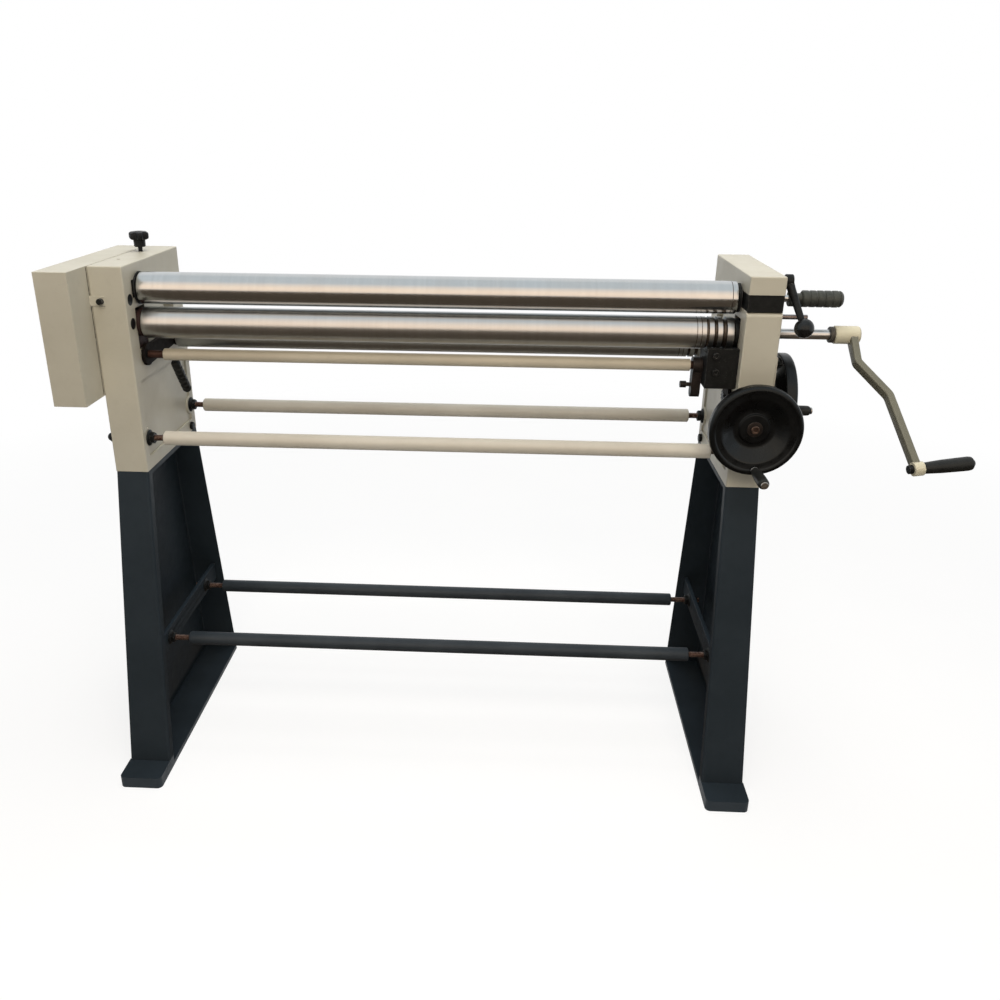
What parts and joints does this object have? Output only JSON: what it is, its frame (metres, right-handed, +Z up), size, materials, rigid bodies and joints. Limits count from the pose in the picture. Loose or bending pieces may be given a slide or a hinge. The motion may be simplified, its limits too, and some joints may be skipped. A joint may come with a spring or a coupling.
{
  "type": "slip roll machine",
  "caption": "Hand-cranked slip roll on a folded steel stand: polished rolls between cream side castings, crank, handwheels and a clamp lever for the swing-out upper roll.",
  "frame": {"origin": "on the floor, under the middle of the machine's outer box; the two front rolls' axes lie 77 mm in front of it and their middle 147 mm to its left", "axes": "+X along the rolls towards the crank, +Y to the back, +Z up"},
  "size_m": [1.9098, 0.6764, 1.296],
  "materials": {
    "cream_paint": "satin hammered",
    "stand_paint": "satin",
    "ground_steel": "ground and polished",
    "black_steel": "black oxide",
    "red_steel": "red oxide",
    "bright_steel": "zinc plated",
    "bronze": "turned",
    "black_plastic": "moulded",
    "shaft_paint": "satin"
  },
  "bodies": {
    "frame": {"left_frame": "cream_paint", "right_frame": "cream_paint", "left_leg": "stand_paint", "right_leg": "stand_paint", "left_cross_bar": "stand_paint", "right_cross_bar": "stand_paint", "front_stand_rod": "stand_paint", "rear_stand_rod": "stand_paint", "stand_rod_nuts": "black_steel", "front_tie_rod": "cream_paint", "rear_tie_rod": "cream_paint", "rod_studs": "red_steel", "tie_rod_nuts": "black_steel", "tie_rod_cap_nuts": "bright_steel", "frame_bolts": "black_steel", "gear_cover": "cream_paint", "cover_screw": "bright_steel", "frame_plugs": "black_plastic", "right_side_plate": "cream_paint", "side_plate_screws": "black_steel", "rest_pin": "black_steel", "shaft_bracket": "black_steel", "bracket_screws": "black_steel", "shaft_bushes": "bronze"},
    "slides": {"lower_left_block": "red_steel", "lower_right_block": "black_steel"},
    "lower_drive": {"lower_roll": "ground_steel", "lower_gear": "black_steel", "crank_arm": "cream_paint", "crank_collar": "black_steel", "crank_grip_bolt": "black_steel"},
    "crank_grip": {"crank_grip": "black_plastic"},
    "upper_carrier": {"upper_left_block": "black_steel", "upper_right_block": "black_steel"},
    "upper_roll": {"upper_roll": "ground_steel", "upper_gear": "black_steel", "pull_grip": "black_plastic"},
    "cross_shaft": {"cross_shaft": "shaft_paint", "cross_shaft_ends": "red_steel", "lift_cams": "black_steel", "lift_rocker": "black_steel", "stop_arm": "red_steel", "shaft_lever": "black_plastic"},
    "lift_nut": {"lift_nut": "black_steel"},
    "front_wheel": {"front_wheel": "black_plastic", "front_wheel_screw": "black_steel", "front_wheel_nut": "bright_steel", "front_grip_spindle": "bright_steel"},
    "front_wheel_grip": {"front_wheel_grip": "black_plastic"},
    "side_wheel": {"side_wheel": "black_plastic", "side_wheel_shaft": "black_steel", "side_wheel_nut": "bright_steel", "side_grip_spindle": "bright_steel"},
    "side_wheel_grip": {"side_wheel_grip": "black_plastic"},
    "rear_arms": {"rear_left_arm": "black_steel", "rear_right_arm": "black_steel"},
    "rear_roll": {"rear_roll": "ground_steel"},
    "clamp": {"clamp_lever": "black_steel", "clamp_ball": "black_plastic"},
    "star_knob": {"star_knob": "black_plastic"}
  },
  "joints": [
    {"name": "front_wheel_turn", "type": "hinge", "parent": "frame", "child": "front_wheel", "pos_m": [0.5506, -0.17684, 0.931], "axis": [0, 1, 0], "range_deg": [0, 1800]},
    {"name": "lower_roll_lift", "type": "slide", "parent": "frame", "child": "slides", "axis": [0, 0, 1], "range_m": [0, 0.0065]},
    {"name": "cross_shaft_rock", "type": "hinge", "parent": "frame", "child": "cross_shaft", "pos_m": [-0.1469, -0.07684, 1.0435], "axis": [1, 0, 0], "range_deg": [0, 38.2]},
    {"name": "lift_nut_slide", "type": "slide", "parent": "frame", "child": "lift_nut", "axis": [0, 1, 0], "range_m": [0, 0.0158]},
    {"name": "front_wheel_grip_spin", "type": "hinge", "parent": "front_wheel", "child": "front_wheel_grip", "pos_m": [0.5556, -0.22684, 0.84414], "axis": [0, 1, 0], "continuous": true},
    {"name": "crank_turn", "type": "hinge", "parent": "slides", "child": "lower_drive", "pos_m": [-0.1469, -0.07684, 1.117], "axis": [1, 0, 0], "continuous": true},
    {"name": "upper_roll_swing", "type": "hinge", "parent": "frame", "child": "upper_carrier", "pos_m": [-0.9169, -0.07684, 1.194], "axis": [0, 0, -1], "range_deg": [0, 6]},
    {"name": "upper_roll_spin", "type": "hinge", "parent": "upper_carrier", "child": "upper_roll", "pos_m": [-0.1469, -0.07684, 1.194], "axis": [1, 0, 0], "continuous": true},
    {"name": "crank_grip_spin", "type": "hinge", "parent": "lower_drive", "child": "crank_grip", "pos_m": [0.8381, -0.32288, 0.90312], "axis": [0.9896, 0.1086, 0.0944], "continuous": true},
    {"name": "rear_arm_swing", "type": "hinge", "parent": "frame", "child": "rear_arms", "pos_m": [-0.1469, -0.07684, 1.0435], "axis": [1, 0, 0], "range_deg": [0, 36]},
    {"name": "rear_roll_spin", "type": "hinge", "parent": "rear_arms", "child": "rear_roll", "pos_m": [-0.1469, 0.10817, 1.0519], "axis": [1, 0, 0], "continuous": true},
    {"name": "side_wheel_turn", "type": "hinge", "parent": "frame", "child": "side_wheel", "pos_m": [0.6211, -0.05187, 0.96618], "axis": [-1, 0, 0], "range_deg": [0, 198.5]},
    {"name": "side_wheel_grip_spin", "type": "hinge", "parent": "side_wheel", "child": "side_wheel_grip", "pos_m": [0.6931, 0.01773, 0.91398], "axis": [1, 0, 0], "continuous": true},
    {"name": "clamp_lever_turn", "type": "hinge", "parent": "frame", "child": "clamp", "pos_m": [0.6021, -0.10684, 1.236], "axis": [-1, 0, 0], "range_deg": [0, 140.5]},
    {"name": "star_knob_turn", "type": "hinge", "parent": "frame", "child": "star_knob", "pos_m": [-0.8569, 0.08516, 1.28], "axis": [0, 0, 1], "range_deg": [-90, 360]}
  ],
  "couplings": [
    {"joint": "front_wheel_turn", "follows": "lower_roll_lift", "rad_per_m": 4833.2},
    {"joint": "cross_shaft_rock", "follows": "lower_roll_lift", "rad_per_m": 102.03},
    {"joint": "lift_nut_slide", "follows": "lower_roll_lift", "ratio": 2.4042},
    {"joint": "upper_roll_spin", "follows": "crank_turn", "ratio": -1},
    {"joint": "clamp_lever_turn", "follows": "upper_roll_swing", "ratio": 23.333},
    {"joint": "side_wheel_turn", "follows": "rear_arm_swing", "ratio": 5.5}
  ]
}
